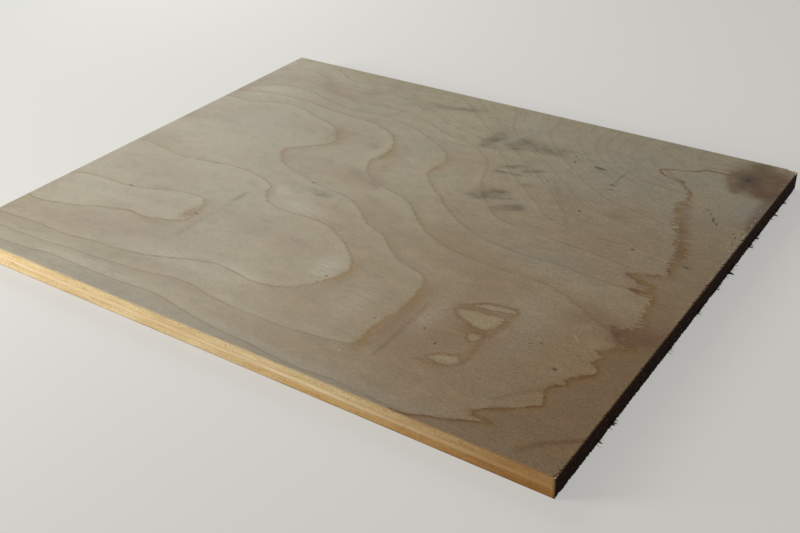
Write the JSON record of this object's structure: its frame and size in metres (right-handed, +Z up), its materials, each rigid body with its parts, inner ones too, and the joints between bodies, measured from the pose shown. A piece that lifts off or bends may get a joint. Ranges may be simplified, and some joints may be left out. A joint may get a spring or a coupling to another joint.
{
  "type": "plywood sheet",
  "caption": "Small flat off-cut of hardwood plywood with thin pale outer veneers, thick crossbands, three clean edges and one ragged saw-cut edge.",
  "frame": {"origin": "middle of the underside", "axes": "+X along the grain of the outer veneers, towards the rough saw-cut edge; +Y away from the clean front edge; +Z up, out of the show face"},
  "size_m": [0.3928, 0.324, 0.012],
  "materials": {
    "face_veneer": "bare, lightly sanded rotary-cut hardwood veneer with cathedral figure",
    "crossband": "bare sawn end grain of the crossband veneers",
    "core": "bare sawn long grain of the core veneer",
    "back_veneer": "bare rotary-cut hardwood veneer"
  },
  "bodies": {
    "root": {"face_veneer": "face_veneer", "upper_crossband": "crossband", "core_veneer": "core", "lower_crossband": "crossband", "back_veneer": "back_veneer"}
  },
  "joints": []
}
